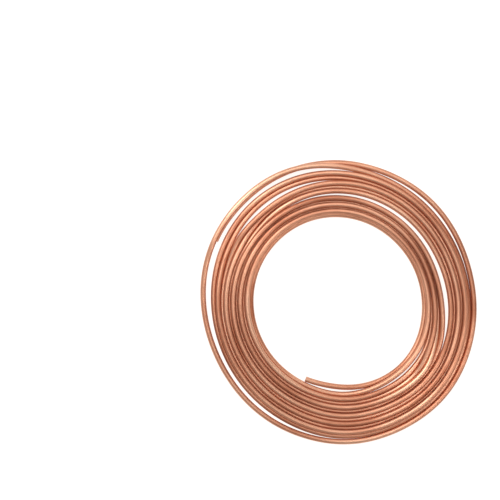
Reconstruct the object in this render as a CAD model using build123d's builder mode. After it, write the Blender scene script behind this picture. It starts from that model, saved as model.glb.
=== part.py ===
from build123d import *
import os
from math import cos, radians, sin, tan

# A roll of small copper tube, lying flat as it is stored and sold. The tube is one
# length, wound outwards round an open eye. The turns of the pack lie in two levels:
# the low ones on the floor, the raised ones leaning in the grooves between them.
# Handling has pressed the roll into a slight oval and has let the turns slip apart on
# one side, and the last turn stands off the pack and crosses over the tube's outer end.
# The roll lies in the XY plane with its eye on +Z. Its lowest turns rest on Z = 0.

# The tube, in millimetres
tube_od = 4.76
tube_wall = 0.71
end_bore_depth = 5.0

# The pack
eye_width = 141.5  # measured across the oval
inner_turns = 6
outer_turns = 5
nest_angle = 45.0  # how steeply each turn leans on the one beside it
oval_angle = 290.0  # direction in which the roll is longest
oval_stretch = 4.4  # every turn is two half circles, each moved out by this
slack = 3.8  # on one side the outer turns stand off the inner ones by this
slack_angle = 20.0

# The last two turns: one winds off the pack and lies beside it, crosses over the
# outer end and comes down to the floor, and the other runs round to that end.
leave_angle = 225.0
beside_angle = 285.0
climb_angle = 57.0
cross_angle = 130.0
outer_end_angle = 155.0
loop_stand_off = 8.6  # from the pack's last turn to the loose one
cross_overhang = 1.6  # the crossing stands this much further out than the end below it
landing_rise = 0.1  # keeps the slanting tube off the floor where it comes down

# The inner end, which has sprung into the eye
inner_end_angle = 247.0
inner_tail_angle = 285.0
inner_merge_angle = 320.0
inner_end_gap = 1.2

half_od = tube_od / 2
turn_step = tube_od * cos(radians(nest_angle))
level_rise = tube_od * sin(radians(nest_angle))
first_radius = eye_width / 2 + half_od
tail_radius = first_radius - tube_od - inner_end_gap

side_turn = inner_turns + outer_turns
high_link = oval_angle + 90
low_link = oval_angle - 90
inner_centre = Vector(-slack / 2, 0, 0).rotate(Axis.Z, slack_angle)
outer_centre = Vector(0, 0, 0)


def way(angle):
    """Level unit vector in a direction counted from +X towards +Y."""
    return Vector(cos(radians(angle)), sin(radians(angle)), 0)


def travel(angle):
    """Level unit vector along the winding, where it passes a direction."""
    return way(angle + 90)


def turn_radius(turn):
    """Radius of a turn's centre line, counted from 0 at the eye."""
    return first_radius + turn * turn_step + (slack / 2 if turn >= inner_turns else 0)


def turn_height(turn):
    """Height of a turn's centre line: even turns lie low, odd ones are raised."""
    return half_od + (turn % 2) * level_rise


def half_centre(end, centre):
    """Centre of one half of an oval turn: end is 1 at the oval angle, -1 opposite."""
    return centre + way(oval_angle) * (end * oval_stretch)


def point_on(end, angle, radius, height, centre=outer_centre):
    """Point of a turn's centre line, on one half of the oval."""
    return half_centre(end, centre) + way(angle) * radius + Vector(0, 0, height)


def side_points(is_free):
    """One side of a low turn's section, from the bottom up.

    A free side has three flats of a hexagon. A pressed side widens from a narrow
    bottom to the full width of the tube, where it bears on the next turn.
    """
    if is_free:
        flat = half_od * tan(radians(30))
        return [(flat, -half_od), (2 * flat, 0), (flat, half_od)]
    return [(half_od / 2, -half_od), (half_od, level_rise - half_od), (half_od, half_od)]


def add_turn_sections(first, count):
    """Sections of neighbouring turns: raised ones are low ones turned over."""
    last = first + count - 1
    for turn in range(first, last + 1):
        up = -1 if turn % 2 else 1
        outer_side = [(x, y * up) for x, y in side_points(turn == last)]
        inner_side = [(-x, y * up) for x, y in side_points(turn == first)]
        with Locations((turn_radius(turn), turn_height(turn))):
            Polygon(*outer_side, *reversed(inner_side))


def section_plane(angle, origin):
    """Upright plane whose x runs outwards from its origin and whose y runs up."""
    return Plane(origin=origin, x_dir=way(angle), z_dir=-travel(angle))


def add_oval_turns(first, count, centre):
    """A group of neighbouring turns, closed round two half circles and two links."""
    for end, angle in ((1, low_link), (-1, high_link)):
        pivot = half_centre(end, centre)
        with BuildSketch(section_plane(angle, pivot)) as half_section:
            add_turn_sections(first, count)
        revolve(half_section.sketch, axis=Axis(pivot, (0, 0, 1)), revolution_arc=180)
        with BuildSketch(section_plane(angle, half_centre(-end, centre))) as link_section:
            add_turn_sections(first, count)
        extrude(link_section.sketch, amount=2 * oval_stretch, dir=way(oval_angle) * end)


def half_arc(end, radius, height, start, stop, centre=outer_centre):
    """Arc of a single turn round one half of the oval."""
    CenterArc(half_centre(end, centre) + Vector(0, 0, height), radius, start, stop - start)


def link(angle, radius, height):
    """Straight stretch of a single turn between the two halves."""
    Line(point_on(1, angle, radius, height), point_on(-1, angle, radius, height))


def add_tube(route):
    """Six-sided tube along each arc and line of a route."""
    for path in route.edges():
        along = path % 0
        across = along.cross(Vector(0, 0, 1))
        with BuildSketch(Plane(origin=path @ 0, x_dir=across, z_dir=along)) as section:
            RegularPolygon(half_od, 6, major_radius=False)
        sweep(section.sketch, path=path)


def bore_end(end_point, into):
    """Blind bore in a sawn end of the tube."""
    with BuildSketch(Plane(origin=end_point, z_dir=into)) as bore_section:
        Circle(half_od - tube_wall)
    extrude(bore_section.sketch, amount=end_bore_depth, mode=Mode.SUBTRACT)


with BuildPart() as copper_tube:
    add_oval_turns(0, inner_turns, inner_centre)
    add_oval_turns(inner_turns, outer_turns, outer_centre)

    # The turn that winds off the pack, and then lies against its rim
    side_radius = turn_radius(side_turn)
    side_height = turn_height(side_turn)
    leaves = point_on(1, leave_angle, turn_radius(side_turn - 2), side_height)
    beside = point_on(1, beside_angle, side_radius, side_height)
    with BuildLine() as side_route:
        TangentArc(beside, leaves, tangent=-travel(beside_angle))
        half_arc(1, side_radius, side_height, beside_angle, high_link)
        link(high_link, side_radius, side_height)
        half_arc(-1, side_radius, side_height, high_link, climb_angle + 360)
    add_tube(side_route)

    # Where it climbs over the outer end, and comes down to the floor
    loop_radius = turn_radius(side_turn - 1) + loop_stand_off
    climbs = point_on(-1, climb_angle, side_radius, side_height)
    crosses = point_on(-1, cross_angle, loop_radius + cross_overhang, half_od + tube_od)
    lands = point_on(-1, low_link, loop_radius, half_od + landing_rise)
    with BuildLine() as crossing_route:
        TangentArc(crosses, climbs, tangent=-travel(cross_angle))
        TangentArc(crosses, lands, tangent=travel(cross_angle))
    add_tube(crossing_route)

    # The last time round, down to the sawn end below the crossing
    with BuildLine() as last_route:
        link(low_link, loop_radius, half_od)
        half_arc(1, loop_radius, half_od, low_link, high_link)
        link(high_link, loop_radius, half_od)
        half_arc(-1, loop_radius, half_od, high_link, outer_end_angle + 360)
    add_tube(last_route)
    outer_end = point_on(-1, outer_end_angle, loop_radius, half_od)
    bore_end(outer_end, -travel(outer_end_angle))

    # The inner end, which winds out of the eye into the first turn
    inner_end = point_on(1, inner_end_angle, tail_radius, half_od, inner_centre)
    tail = point_on(1, inner_tail_angle, tail_radius, half_od, inner_centre)
    merges = point_on(1, inner_merge_angle, first_radius, half_od, inner_centre)
    with BuildLine() as tail_route:
        half_arc(1, tail_radius, half_od, inner_end_angle, inner_tail_angle, inner_centre)
        TangentArc(tail, merges, tangent=travel(inner_tail_angle))
    add_tube(tail_route)
    bore_end(inner_end, travel(inner_end_angle))

# The roll's reference point is the middle of its outline, on the floor.
middle = copper_tube.part.bounding_box().center()
copper_tube.part = copper_tube.part.translate(Vector(-middle.X, -middle.Y, 0))
copper_tube.part.label = "copper_tube"
os.makedirs("parts", exist_ok=True)
export_step(copper_tube.part, "parts/copper_tube.step")
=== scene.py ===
# %% [markdown]
# A roll of small copper tube, built from its winding
#
# The real object is one length of soft copper tube, drawn through a die until it is
# 4.76 mm across, and then wound flat, turn outside turn, round an open eye. Short
# lengths are cut from such a roll for water pipes and cooling circuits. Nothing holds
# the turns together but the stiffness of the tube, so they slip a little as the roll is
# handled, and the gaps between them are what gives each roll its own face.
#
# The lesson goes the way the roll was made: first the line that the tube follows, then
# how the turns settle against each other, then the skin of the copper and the tube round
# its line, and last the floor, the light and the camera.

from math import pi, radians

import bpy
import numpy as np
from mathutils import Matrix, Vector


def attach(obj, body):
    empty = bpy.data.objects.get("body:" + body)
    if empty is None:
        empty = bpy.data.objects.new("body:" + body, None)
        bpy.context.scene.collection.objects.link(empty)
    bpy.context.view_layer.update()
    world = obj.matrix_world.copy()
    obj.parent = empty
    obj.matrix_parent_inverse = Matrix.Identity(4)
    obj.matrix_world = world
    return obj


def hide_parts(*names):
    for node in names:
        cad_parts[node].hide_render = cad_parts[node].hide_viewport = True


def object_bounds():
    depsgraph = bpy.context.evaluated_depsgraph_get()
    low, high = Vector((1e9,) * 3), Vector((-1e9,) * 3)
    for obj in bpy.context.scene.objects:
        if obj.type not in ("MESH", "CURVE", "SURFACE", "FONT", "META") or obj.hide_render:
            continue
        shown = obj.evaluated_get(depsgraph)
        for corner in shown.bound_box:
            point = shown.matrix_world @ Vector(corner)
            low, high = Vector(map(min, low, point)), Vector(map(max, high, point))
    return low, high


MM = 0.001  # in metres

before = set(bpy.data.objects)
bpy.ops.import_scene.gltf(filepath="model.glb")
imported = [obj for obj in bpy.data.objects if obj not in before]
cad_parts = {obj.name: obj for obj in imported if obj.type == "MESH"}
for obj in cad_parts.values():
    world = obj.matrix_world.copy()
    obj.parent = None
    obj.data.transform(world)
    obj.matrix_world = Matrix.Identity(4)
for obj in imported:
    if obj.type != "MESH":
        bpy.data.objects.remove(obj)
cad_low, cad_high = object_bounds()
cad_centre = (np.array(cad_low) + np.array(cad_high)) / 2
print("box of the frame in mm:", np.round((np.array(cad_high) - np.array(cad_low)) / MM, 2))

# %% [markdown]
# The tube
#
# Soft copper tube is sold by its outside diameter. This one is 3/16 in, with the wall
# that such tube usually has. Lengths are written in millimetres, as the tube is measured,
# and are turned to metres where a mesh or a material needs them. Only the floor and the
# lights are written in metres.

# %% Sizes of the tube
TUBE_OUTSIDE = 4.76
TUBE_WALL = 0.71
TUBE_RADIUS = TUBE_OUTSIDE / 2
print(f"tube {TUBE_OUTSIDE} mm outside, bore {TUBE_OUTSIDE - 2 * TUBE_WALL:.2f} mm")

# %% [markdown]
# The winding
#
# A perfect winding would be a spiral, in which every turn lies outside the last one by
# the same step. A spiral curve could draw it, but a real roll isn't perfect, and the eye
# knows it by its faults. So the line is worked out turn by turn instead, as a distance
# from the middle of the eye at even steps of angle along the tube.
#
# An angle is counted from the direction of +X, along the tube from its inner end, and
# keeps growing: 360 degrees further on is the same direction, one turn out.

# %% How far the tube is wound
FULL_TURN = 360
START_ANGLE = 249.0
END_ANGLE = 4835.0
ANGLE_STEP = 2.0
STEPS_A_TURN = int(FULL_TURN / ANGLE_STEP)

angles = np.arange(START_ANGLE, END_ANGLE + ANGLE_STEP / 2, ANGLE_STEP)
print(f"{(END_ANGLE - START_ANGLE) / FULL_TURN:.2f} turns, {len(angles)} places along the tube")

# %% [markdown]
# The first turn
#
# The innermost turn gives its outline to all that are wound over it. It was round once,
# and handling has pressed it out on one side and in on the other. An ellipse could stand
# for it, but such dents are local, so it is a circle with smooth humps and hollows added,
# each about its own direction.

# %% Outline of the first turn
FIRST_RADIUS = 73.7

# Each row: direction and spread in degrees, and how far the turn bulges out in mm.
FIRST_BULGES = [
    (249, 8, 2.7),  # the sawn end leans against the turn outside it
    (260, 12, -0.8),
    (287, 25, 5.3),  # the lower right side has been pressed out
    (320, 28, 7.0),
    (360, 35, 1.6),
    (410, 42, -2.2),  # and the upper right side in
    (480, 45, -0.9),
    (575, 50, 1.8),
    (618, 38, 5.5),  # the tube comes round outside its sawn end
]


def bulges_at(angle, bulges):
    """Sum of rounded bulges, each a smooth hump about its own angle."""
    return sum(size * np.exp(-(((angle - middle) / spread) ** 2)) for middle, spread, size in bulges)


first_turn = FIRST_RADIUS + bulges_at(angles[: STEPS_A_TURN + 1], FIRST_BULGES)
print(f"first turn: radius from {first_turn.min():.1f} to {first_turn.max():.1f} mm")

# %% [markdown]
# The slips
#
# From one turn to the next lies one step, a little less than the width of the tube,
# because the turns nest in each other. Where two turns have slipped apart the step is
# wider, and where they have been pressed together it is narrower. Random numbers could
# make such slips, but the gaps of a real roll are few and run for long stretches, so
# each is listed one by one.

# %% Slips between the turns
TURN_STEP = 3.64

# Each row: first and last turn, direction and spread in degrees, and what the slip adds,
# in mm, to the step from each of those turns to the next. A turn is numbered by how many
# full turns its angle counts.
SLIPS = [
    (0, 0, 270, 17, 4.3),  # the gap beside the inner end
    (1, 1, 268, 20, 0.5),
    (0, 0, 304, 20, -2.2),
    (1, 1, 315, 18, 5.2),  # the bright gap at the lower right
    (2, 4, 318, 24, -0.3),
    (5, 10, 283, 25, 0.15),
    (6, 10, 332, 38, -0.55),
    (1, 5, 8, 32, -0.95),  # the inner turns, pressed together on the right side
    (1, 5, 60, 40, -0.75),
    (6, 6, -6, 22, 4.0),  # the long gap that runs up outside them
    (6, 6, 38, 45, 3.7),
    (6, 6, 102, 40, 2.4),
    (7, 11, 30, 35, -0.25),
    (12, 12, 42, 28, 3.3),  # the gap inside the last stretch, at the upper right
    (12, 12, 78, 16, 0.8),
    (1, 8, 128, 46, -0.7),
    (9, 9, 132, 36, 4.9),  # the short gap at the upper left
    (1, 10, 200, 55, -0.45),
    (11, 11, 110, 22, 5.0),  # the last turn stands off the pack, from the top
    (11, 11, 160, 34, 6.0),  # down the left side
    (11, 11, 210, 45, 2.5),
    (11, 11, 242, 22, 2.2),  # to the bottom
    (12, 12, 108, 16, -1.5),
    (12, 12, 138, 38, -5.0),  # and the outer end dives in under the turn before it
]
slips_along = [
    (FULL_TURN * turn + direction, spread, size)
    for first, last, direction, spread, size in SLIPS
    for turn in range(first, last + 1)
]
print(f"{len(SLIPS)} slips, which act on {len(slips_along)} steps")

# %% [markdown]
# Turn outside turn
#
# Each later turn is the one inside it plus a step. Every turn could be drawn by itself,
# but then a gap would have to be drawn again on each turn outside it. Built on each
# other, the turns carry a slip on outwards, just as they do when a roll is wound.

# %% Wind the turns
radii_so_far = list(first_turn)
for angle in angles[len(first_turn) :]:
    step = TURN_STEP + bulges_at(angle - FULL_TURN, slips_along)
    radii_so_far.append(radii_so_far[-STEPS_A_TURN] + step)
wound_radii = np.array(radii_so_far)
print(f"all turns: radius from {wound_radii.min():.1f} to {wound_radii.max():.1f} mm")

# %% [markdown]
# Two levels
#
# The step from turn to turn is smaller than the tube is wide, so the turns can't all lie
# on the floor. Every other one rides in the groove between its neighbours, and the roll
# is two levels thick. The tube has to change level once in each turn, or two turns that
# lie side by side would both be low. The changes could come at one even distance, but in
# the real roll they wander round it, and each shows as a place where a bright, high turn
# sinks and its neighbour comes up. So they are set one by one.

# %% Levels before settling
LEVEL_CHANGES = [650, 1040, 1405, 1780, 2155, 2650, 3050, 3415, 3780, 4150]  # the first one is up
CHANGE_SPREAD = 18.0  # degrees to each side of a change
HIGH_RISE = 3.0


def ease(angle, start, length):
    """0 before the start, 1 after the length, and a smooth rise between."""
    share = np.clip((angle - start) / length, 0, 1)
    return share * share * (3 - 2 * share)


level = np.zeros(len(angles))
for count, change in enumerate(LEVEL_CHANGES):
    changed = ease(angles, change - CHANGE_SPREAD, 2 * CHANGE_SPREAD)
    new_level = 1 - count % 2
    level = level * (1 - changed) + new_level * changed
print(f"{len(LEVEL_CHANGES)} changes of level, {np.mean(level > 0.5):.0%} of the tube is high")

# %% [markdown]
# The crossing
#
# The outer end has sprung in under the turn before it. Where the two meet, that turn
# climbs off the floor, runs over the end and comes down again further on. The settling
# below could lift it by itself, but then it might as well lift the end over the turn.
# A rise that is given beforehand says which of them is on top.

# %% Rise over the outer end
CROSSING_RISE = 4.4
CLIMB_START, CLIMB_LENGTH = 4370.0, 45.0
DESCENT_START, DESCENT_LENGTH = 4482.0, 50.0

climbed = ease(angles, CLIMB_START, CLIMB_LENGTH)
come_down = ease(angles, DESCENT_START, DESCENT_LENGTH)
crossing = climbed * (1 - come_down)
wound_heights = TUBE_RADIUS + HIGH_RISE * level + CROSSING_RISE * crossing
print(f"highest centre line before settling: {wound_heights.max():.2f} mm")

# %% [markdown]
# Turns that touch
#
# Turns drawn by rule cut into each other here and float there. A physics engine could
# settle them, but nearly 8 m of tube in 13 close turns is slow and restless to simulate.
# The turns never leave their order, so it is enough to look at the section of the roll:
# at each angle every turn is a disc, and its neighbours are the discs one and two turns
# out. Two discs that overlap push each other apart, and more up and down than sideways,
# because the turns on both sides hold them.

# %% Push the turns apart
NEIGHBOURS = (1, 2)  # turns out
SIDEWAYS_SHARE = 0.35  # of a push


def push_apart(radii, heights, turns_out):
    """Moves each pair of discs that overlap away from each other."""
    offset = turns_out * STEPS_A_TURN
    inner = slice(None, -offset)
    outer = slice(offset, None)
    across = radii[outer] - radii[inner]
    above = heights[outer] - heights[inner]
    distance = np.hypot(across, above)
    push = np.maximum(0, TUBE_OUTSIDE - distance) / 2 / distance
    radii[inner] -= push * across * SIDEWAYS_SHARE
    radii[outer] += push * across * SIDEWAYS_SHARE
    heights[inner] -= push * above
    heights[outer] += push * above


def closest_centres(radii, heights):
    """The least distance between the centre lines of two neighbours, in mm."""
    offsets = [turns_out * STEPS_A_TURN for turns_out in NEIGHBOURS]
    return min(np.hypot(radii[n:] - radii[:-n], heights[n:] - heights[:-n]).min() for n in offsets)


print(f"before settling: closest centre lines {closest_centres(wound_radii, wound_heights):.3f} mm")

# %% [markdown]
# A tube that stays smooth
#
# The discs of one turn are slices of the same tube, and it doesn't kink. A beam formula
# could say how stiff it is, but all that shows is that its line runs smoothly. Drawing
# each place a little towards the middle of the two beside it does that, many times over.

# %% Even the tube out
def even_out(values, stiffness):
    """Draws each place towards the middle of the two beside it."""
    between = (values[:-2] + values[2:]) / 2
    values[1:-1] += stiffness * (between - values[1:-1])


kink = np.array([0.0, 0.0, 1.0, 0.0, 0.0])
even_out(kink, 0.5)
print("a kink of 1 mm, evened out once:", kink)

# %% [markdown]
# Settling
#
# In each small round the turns push each other apart, a little weight draws them down,
# and a weak spring draws each back to where it was wound. The floor stops what would sink
# into it. The last rounds leave weight and spring out, and the tube is a little less
# stiff, so that nothing is left pressed into its neighbour.

# %% Settle the turns
PUSHES_A_ROUND = 2


def settle(radii, heights, rounds, weight, spring, stiffness):
    """Lets the turns find their places; weight is in mm a round."""
    for _ in range(rounds):
        for _ in range(PUSHES_A_ROUND):
            for turns_out in NEIGHBOURS:
                push_apart(radii, heights, turns_out)
            np.maximum(heights, TUBE_RADIUS, out=heights)
        heights -= weight
        radii += spring * (wound_radii - radii)
        even_out(radii, stiffness)
        even_out(heights, stiffness)
        np.maximum(heights, TUBE_RADIUS, out=heights)


radii = wound_radii.copy()
heights = wound_heights.copy()
settle(radii, heights, rounds=1200, weight=0.01, spring=0.02, stiffness=0.3)
settle(radii, heights, rounds=200, weight=0.0, spring=0.0, stiffness=0.1)
print(f"settled: closest centre lines {closest_centres(radii, heights):.3f} mm")
print(f"top at {heights.max() + TUBE_RADIUS:.2f} mm")
print(f"moved sideways by up to {np.abs(radii - wound_radii).max():.2f} mm")

# %% [markdown]
# The centre line
#
# The radii and heights become points round the eye. They could be turned into the frame's
# place by moving the finished piece, but a piece stays at the origin and has its place in
# its mesh. So the points themselves are moved: the middle of their outline comes over the
# middle of the frame's box, and the lowest turns lie on its floor.

# %% Points along the tube
directions = np.radians(angles)
line = np.stack([radii * np.cos(directions), radii * np.sin(directions), heights], axis=1)
middle = (line.min(axis=0) + line.max(axis=0)) / 2
line[:, :2] -= middle[:2]
line *= MM
line[:, :2] += cad_centre[:2]
line[:, 2] += cad_low[2]
print(f"tube length {np.linalg.norm(np.diff(line, axis=0), axis=1).sum():.2f} m")

# %% [markdown]
# The line as a mesh
#
# The points could make a curve object. A mesh of points and edges takes them all in one
# call, and the tube's node tree turns it into a curve anyway.

# %% The chain of edges
line_mesh = bpy.data.meshes.new("winding_line")
line_mesh.from_pydata(line.tolist(), [(n, n + 1) for n in range(len(line) - 1)], [])
winding_line = bpy.data.objects.new("winding_line", line_mesh)
bpy.context.scene.collection.objects.link(winding_line)
print(f"{len(line_mesh.vertices)} points, {len(line_mesh.edges)} edges")

# %% [markdown]
# Colours
#
# Colours are written as sRGB hex, as a colour picker shows them, but a shader counts in
# linear light. Each could be turned by hand. One function does it for all of them, by the
# curve that the sRGB standard gives.

# %% From hex to linear light
COPPER_BROWN = "#AE6C50"
COPPER_PINK = "#D49779"
COPPER_BRIGHT = "#E8B698"


def linear(hex_colour):
    """Linear RGBA of a colour written as sRGB hex."""
    shares = [int(hex_colour[n : n + 2], 16) / 255 for n in (1, 3, 5)]
    return [s / 12.92 if s <= 0.04045 else ((s + 0.055) / 1.055) ** 2.4 for s in shares] + [1.0]


print("copper pink in linear light:", np.round(linear(COPPER_PINK), 3))

# %% [markdown]
# Nodes
#
# Both the copper and the tube are made by trees of nodes. Each node takes three or four
# lines to add, set and link, and a reader loses the tree among them. One small function
# does it in one call, and the trees then read from top to bottom. The copper's first node
# reads the coordinates that the tube's tree stores further on, under the name straight.

# %% Add a node
def add_node(tree, kind, settings=None, inputs=None):
    """Adds a node. A setting is an attribute; an input is a value or an output to link."""
    node = tree.nodes.new(kind)
    for name, value in (settings or {}).items():
        setattr(node, name, value)
    for name, value in (inputs or {}).items():
        socket = node.inputs[name]
        if isinstance(value, bpy.types.NodeSocket):
            tree.links.new(value, socket)
        else:
            socket.default_value = value
    return node


copper = bpy.data.materials.new("drawn_copper")
copper.use_nodes = True
copper_tree = copper.node_tree
copper_tree.nodes.clear()
straight = add_node(copper_tree, "ShaderNodeAttribute", {"attribute_name": "straight"})
print("first node of the copper:", straight.bl_idname)

# %% [markdown]
# The skin of the copper
#
# This is soft copper, drawn through a die and annealed. Drawing leaves fine lines along
# the tube, and annealing and handling leave cloudy patches, pinker here and browner there.
# Each stretch of the tube also has its own tone, which changes slowly, over half a turn.
#
# The patterns have to follow the tube. A picture could be wrapped round it, but procedural
# noise has no seam and no end. The tree of the tube, further on, keeps for every point
# where it would lie if the tube were straight: two coordinates in the section and the
# length along. Noise that is read there, and stretched along the tube, follows every turn.

# %% Patterns along the tube
# Each row: mm across the tube, mm along it, detail and roughness of the noise.
PATTERNS = {
    "clouds": (9.0, 60.0, 4.0, 0.6),
    "slow_tone": (30.0, 260.0, 1.0, 0.5),
    "draw_lines": (0.5, 40.0, 2.0, 0.5),  # real ones are finer, and wouldn't show
}
patterns = {}
for name, (across, along, detail, grain) in PATTERNS.items():
    sized = add_node(copper_tree, "ShaderNodeMapping", inputs={
        "Vector": straight.outputs["Vector"],
        "Scale": (1 / (across * MM), 1 / (across * MM), 1 / (along * MM)),
    })
    noise = add_node(copper_tree, "ShaderNodeTexNoise", inputs={
        "Vector": sized.outputs["Vector"],
        "Scale": 1.0,
        "Detail": detail,
        "Roughness": grain,
    })
    patterns[name] = noise.outputs["Fac"]
print("patterns:", ", ".join(patterns))

# %% [markdown]
# Colour
#
# A metal takes its colour from its base colour, so the clouds and the slow tone go there.
# They could be mixed in one after the other, but a ramp over both together keeps the
# three coppers in order: brown where they are low, then pink, then bright.

# %% Colour of the copper
CLOUD_SHARE = 0.5
TONES = [(0.37, COPPER_BROWN), (0.50, COPPER_PINK), (0.66, COPPER_BRIGHT)]

tone = add_node(copper_tree, "ShaderNodeMix", {"data_type": "FLOAT"}, {
    "Factor": CLOUD_SHARE,
    "A": patterns["slow_tone"],
    "B": patterns["clouds"],
})
skin = add_node(copper_tree, "ShaderNodeValToRGB", inputs={"Fac": tone.outputs["Result"]})
stops = skin.color_ramp.elements
stops.new(0.5)
for stop, (position, colour) in zip(stops, TONES):
    stop.position = position
    stop.color = linear(colour)
print("stops of the ramp:", [round(stop.position, 2) for stop in stops])

# %% [markdown]
# Gloss
#
# Drawn copper is bright but not a mirror. To the eye that is a broad, warm highlight on
# each turn, stretched along it, and deep orange brown in the grooves, where copper mirrors
# copper. One roughness could give that, but the browner patches of real copper are also
# duller, so it follows the clouds. The draw lines are a faint bump, deeper than real ones
# so that they show. The index of refraction keeps the default, as a metal's does.

# %% Gloss and draw lines
CLOUD_RANGE = (0.3, 0.7)
ROUGH_DULL, ROUGH_BRIGHT = 0.50, 0.40
DRAW_LINE_DEPTH = 0.2
DRAW_LINE_STRENGTH = 0.12

roughness = add_node(copper_tree, "ShaderNodeMapRange", inputs={
    "Value": patterns["clouds"],
    "From Min": CLOUD_RANGE[0],
    "From Max": CLOUD_RANGE[1],
    "To Min": ROUGH_DULL,
    "To Max": ROUGH_BRIGHT,
})
bump = add_node(copper_tree, "ShaderNodeBump", inputs={
    "Height": patterns["draw_lines"],
    "Strength": DRAW_LINE_STRENGTH,
    "Distance": DRAW_LINE_DEPTH * MM,
})
surface = add_node(copper_tree, "ShaderNodeBsdfPrincipled", inputs={
    "Base Color": skin.outputs["Color"],
    "Metallic": 1.0,
    "Roughness": roughness.outputs["Result"],
    "Normal": bump.outputs["Normal"],
})
add_node(copper_tree, "ShaderNodeOutputMaterial", inputs={"Surface": surface.outputs["BSDF"]})
print(f"{len(copper_tree.nodes)} nodes make the copper")

# %% [markdown]
# The tube round its line
#
# The tube could be a bevelled curve, or a skin modifier. Geometry Nodes suit it better:
# the tree turns the line into a curve, sweeps a circle along it and, on the way, keeps
# what the material needs, with every size an input that can be changed later.

# %% Inputs of the tube tree
SIDES = 16


def add_input(tree, name, kind, value=None):
    """Adds a named input to a tree and returns its identifier."""
    socket = tree.interface.new_socket(name, in_out="INPUT", socket_type=kind)
    if value is not None:
        socket.default_value = value
    return socket.identifier


tube_tree = bpy.data.node_groups.new("tube_round_a_line", "GeometryNodeTree")
add_input(tube_tree, "Line", "NodeSocketGeometry")
radius_input = add_input(tube_tree, "Outside radius", "NodeSocketFloat", TUBE_RADIUS * MM)
sides_input = add_input(tube_tree, "Sides", "NodeSocketInt", SIDES)
copper_input = add_input(tube_tree, "Copper", "NodeSocketMaterial")
tube_tree.interface.new_socket("Tube", in_out="OUTPUT", socket_type="NodeSocketGeometry")
print("sockets of the tree:", [socket.name for socket in tube_tree.interface.items_tree])

# %% [markdown]
# The way along
#
# The curve's normal is kept upright, or the section would twist as the line climbs. The
# length along the tube is stored on the curve before it is swept, because afterwards
# there is no curve left to measure.

# %% The line as a curve
given = add_node(tube_tree, "NodeGroupInput").outputs
curve = add_node(tube_tree, "GeometryNodeMeshToCurve", inputs={"Mesh": given["Line"]})
upright = add_node(tube_tree, "GeometryNodeSetCurveNormal", {"mode": "Z_UP"}, {
    "Curve": curve.outputs["Curve"],
})
length_along = add_node(tube_tree, "GeometryNodeSplineParameter").outputs["Length"]
measured = add_node(tube_tree, "GeometryNodeStoreNamedAttribute", {"data_type": "FLOAT"}, {
    "Geometry": upright.outputs["Curve"],
    "Name": "along",
    "Value": length_along,
})
print("kept on the line:", measured.inputs["Name"].default_value)

# %% [markdown]
# The section
#
# The tube is round, so its section is a circle, with as many sides as show no corners at
# the photo's distance. Each point of it keeps its own place for the material.

# %% The circle that is swept
ring = add_node(tube_tree, "GeometryNodeCurvePrimitiveCircle", inputs={
    "Resolution": given["Sides"],
    "Radius": given["Outside radius"],
})
ring_place = add_node(tube_tree, "GeometryNodeInputPosition").outputs["Position"]
section = add_node(tube_tree, "GeometryNodeStoreNamedAttribute", {"data_type": "FLOAT_VECTOR"}, {
    "Geometry": ring.outputs["Curve"],
    "Name": "section",
    "Value": ring_place,
})
swept = add_node(tube_tree, "GeometryNodeCurveToMesh", inputs={
    "Curve": measured.outputs["Geometry"],
    "Profile Curve": section.outputs["Geometry"],
})
print("kept on the section:", section.inputs["Name"].default_value)

# %% [markdown]
# The straightened tube
#
# The swept mesh has both kept values at each point. The place in the section gives X and
# Y of the straight tube, and the length along gives Z. The copper reads them together.

# %% Coordinates for the copper
section_read = add_node(
    tube_tree, "GeometryNodeInputNamedAttribute", {"data_type": "FLOAT_VECTOR"}, {"Name": "section"})
along_read = add_node(
    tube_tree, "GeometryNodeInputNamedAttribute", {"data_type": "FLOAT"}, {"Name": "along"})
along_z = add_node(tube_tree, "ShaderNodeCombineXYZ", inputs={"Z": along_read.outputs["Attribute"]})
straightened = add_node(tube_tree, "ShaderNodeVectorMath", {"operation": "ADD"}, {
    0: section_read.outputs["Attribute"],
    1: along_z.outputs["Vector"],
})
mapped = add_node(tube_tree, "GeometryNodeStoreNamedAttribute", {"data_type": "FLOAT_VECTOR"}, {
    "Geometry": swept.outputs["Mesh"],
    "Name": straight.attribute_name,
    "Value": straightened.outputs["Vector"],
})
print("kept for the copper:", mapped.inputs["Name"].default_value)

# %% [markdown]
# The end of the tree
#
# The skin is shaded smooth, because the real tube has no facets. The tree ends by making
# its geometry real and giving it the copper, so that what comes out is a plain mesh with
# one material. Both could be done on the mesh afterwards, but here they are never missed.

# %% Finish the tube tree
smooth = add_node(tube_tree, "GeometryNodeSetShadeSmooth", inputs={
    "Geometry": mapped.outputs["Geometry"],
})
realized = add_node(tube_tree, "GeometryNodeRealizeInstances", inputs={
    "Geometry": smooth.outputs["Geometry"],
})
finished = add_node(tube_tree, "GeometryNodeSetMaterial", inputs={
    "Geometry": realized.outputs["Geometry"],
    "Material": given["Copper"],
})
add_node(tube_tree, "NodeGroupOutput", inputs={"Tube": finished.outputs["Geometry"]})
print(f"{len(tube_tree.nodes)} nodes make the tube")

# %% [markdown]
# The wall
#
# The real tube is hollow from end to end, and its bore shows at both sawn ends. A second
# circle could be swept inside the first, but the two would then have to be joined. A
# Solidify modifier grows the wall inwards and closes the sawn ends with a flat ring, which
# is what a saw leaves.

# %% Sweep the tube and give it its wall
sweep = winding_line.modifiers.new("tube", "NODES")
sweep.node_group = tube_tree
sweep[radius_input] = TUBE_RADIUS * MM
sweep[sides_input] = SIDES
sweep[copper_input] = copper

wall = winding_line.modifiers.new("wall", "SOLIDIFY")
wall.thickness = TUBE_WALL * MM
wall.offset = -1.0  # all of it inwards
wall.use_rim = True
wall.use_even_offset = True
print("modifiers:", [modifier.name for modifier in winding_line.modifiers])

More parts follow.
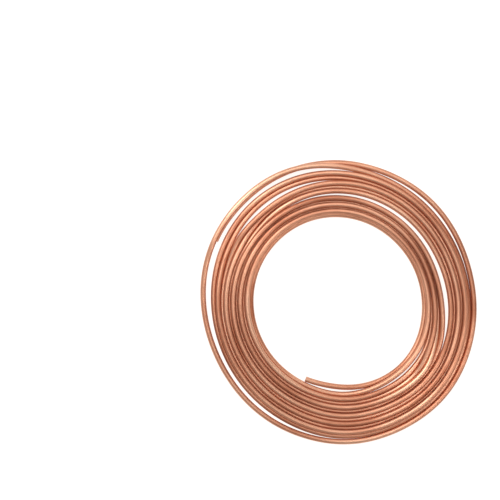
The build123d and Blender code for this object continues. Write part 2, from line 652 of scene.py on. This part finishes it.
# %% [markdown]
# One plain mesh
#
# The tree and the wall could stay live, but the frame's tools and the export want a
# finished piece. The evaluated mesh is copied out, and the line that made it is removed.
# The edges of the sawn ends are marked sharp, so that the smooth skin stops there.

# %% The coil
SHARP_ANGLE = 50

bpy.context.view_layer.update()
depsgraph = bpy.context.evaluated_depsgraph_get()
made = winding_line.evaluated_get(depsgraph)
coil_mesh = bpy.data.meshes.new_from_object(made, depsgraph=depsgraph)
coil_mesh.name = "copper_coil"
coil_mesh.set_sharp_from_angle(angle=radians(SHARP_ANGLE))
coil = bpy.data.objects.new("copper_coil", coil_mesh)
bpy.context.scene.collection.objects.link(coil)
bpy.data.objects.remove(winding_line)
coil_mesh.calc_loop_triangles()
print(f"{len(coil_mesh.vertices)} points, {len(coil_mesh.loop_triangles)} triangles")

# %% [markdown]
# The floor
#
# The roll lies on a sheet of white paper with no edge in sight. A plain white floor would
# turn grey wherever the light is weak, so the paper is a darker one that also glows. It
# stays white from every side, keeps only a hint of shadow, and lights the turns from
# below and through the gaps, as white paper does in a studio.

# %% Floor of white paper
FLOOR_SIZE = 40.0
PAPER_COLOUR = "#868686"
PAPER_ROUGHNESS = 0.8
GLOW_COLOUR = "#FFFCF8"
GLOW_STRENGTH = 0.9

reach = FLOOR_SIZE / 2
floor_z = float(cad_low[2])
corners = [(x * reach, y * reach, floor_z) for x, y in ((-1, -1), (1, -1), (1, 1), (-1, 1))]
floor_mesh = bpy.data.meshes.new("floor")
floor_mesh.from_pydata(corners, [], [(0, 1, 2, 3)])
floor = bpy.data.objects.new("floor", floor_mesh)
bpy.context.scene.collection.objects.link(floor)
paper = bpy.data.materials.new("white_paper")
paper.use_nodes = True
paper_inputs = paper.node_tree.nodes["Principled BSDF"].inputs
paper_inputs["Base Color"].default_value = linear(PAPER_COLOUR)
paper_inputs["Roughness"].default_value = PAPER_ROUGHNESS
paper_inputs["Emission Color"].default_value = linear(GLOW_COLOUR)
paper_inputs["Emission Strength"].default_value = GLOW_STRENGTH
floor_mesh.materials.append(paper)
print(f"floor {FLOOR_SIZE:.0f} m across")

# %% [markdown]
# The light all round
#
# Metal shows what is round it. A dark room would make the copper black between its
# highlights, so the whole sky gives a soft, even white.

# %% Studio sky
SKY_COLOUR = "#FFFFFF"
SKY_STRENGTH = 0.4

scene = bpy.context.scene
scene.view_settings.view_transform = "Standard"
studio = bpy.data.worlds.new("studio")
studio.use_nodes = True
sky_inputs = studio.node_tree.nodes["Background"].inputs
sky_inputs["Color"].default_value = linear(SKY_COLOUR)
sky_inputs["Strength"].default_value = SKY_STRENGTH
scene.world = studio
print(f"sky strength {SKY_STRENGTH}")

# %% [markdown]
# Softboxes
#
# On a round tube a light shows as a line, where the tube runs across the way to it. So
# each softbox brightens the turns on its own side of the roll and on the far side. The
# key light is at the upper left, the back light at the lower right, and a small one close
# by lifts the top. Lamps without size would give hard, thin lines, so these are flat
# boxes, each with an even face that is turned to the roll. A light's energy is worked out
# from how bright its face is, so a face that is made wider stays as bright.

# %% Three softboxes
# Each row: name, place in metres, width, height, and brightness of its face.
SOFTBOXES = [
    ("key_softbox", (-0.93, 0.96, 1.99), 0.5, 2.4, 9.0),
    ("back_softbox", (1.25, -0.78, 1.89), 0.4, 1.6, 6.0),
    ("near_softbox", (0.13, 0.35, 0.29), 0.36, 0.36, 1.15),
]
for name, place, width, height, brightness in SOFTBOXES:
    light = bpy.data.lights.new(name, "AREA")
    light.shape = "RECTANGLE"
    light.size = width
    light.size_y = height
    light.energy = brightness * pi * width * height
    softbox = bpy.data.objects.new(name, light)
    softbox.location = place
    softbox.rotation_euler = (-Vector(place)).to_track_quat("-Z", "Y").to_euler()
    scene.collection.objects.link(softbox)
    print(f"{name}: {Vector(place).length:.2f} m away, {light.energy:.2f} W")

# %% [markdown]
# The camera
#
# The photo looks straight down on the roll, and the roll's outline shows no perspective.
# An orthographic camera could take it, but a long lens from far off looks the same and
# keeps other views natural. The scale of the photo sets how far off it is, and the place
# of the roll in the photo sets where it hangs.

# %% Camera above the roll
PHOTO_SIZE = 500
ROLL_MIDDLE_IN_PHOTO = (338.4, 302.15)
MM_A_PIXEL = 0.87
LENS = 120.0

camera_data = bpy.data.cameras.new("camera")
camera_data.lens = LENS
camera = bpy.data.objects.new("camera", camera_data)
scene.collection.objects.link(camera)
scene.camera = camera
view_width = PHOTO_SIZE * MM_A_PIXEL * MM
distance = view_width * LENS / camera_data.sensor_width
photo_middle = PHOTO_SIZE / 2
camera.location = (
    cad_centre[0] - (ROLL_MIDDLE_IN_PHOTO[0] - photo_middle) * MM_A_PIXEL * MM,
    cad_centre[1] + (ROLL_MIDDLE_IN_PHOTO[1] - photo_middle) * MM_A_PIXEL * MM,
    distance,
)
print(f"camera {distance:.2f} m above the roll")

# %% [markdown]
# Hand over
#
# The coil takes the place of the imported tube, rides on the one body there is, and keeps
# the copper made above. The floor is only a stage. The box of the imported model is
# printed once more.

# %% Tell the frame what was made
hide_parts("copper_tube")
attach(coil, "root")

print("CAD box mm", [round(float(v) / MM, 2) for v in (*cad_low, *cad_high)])
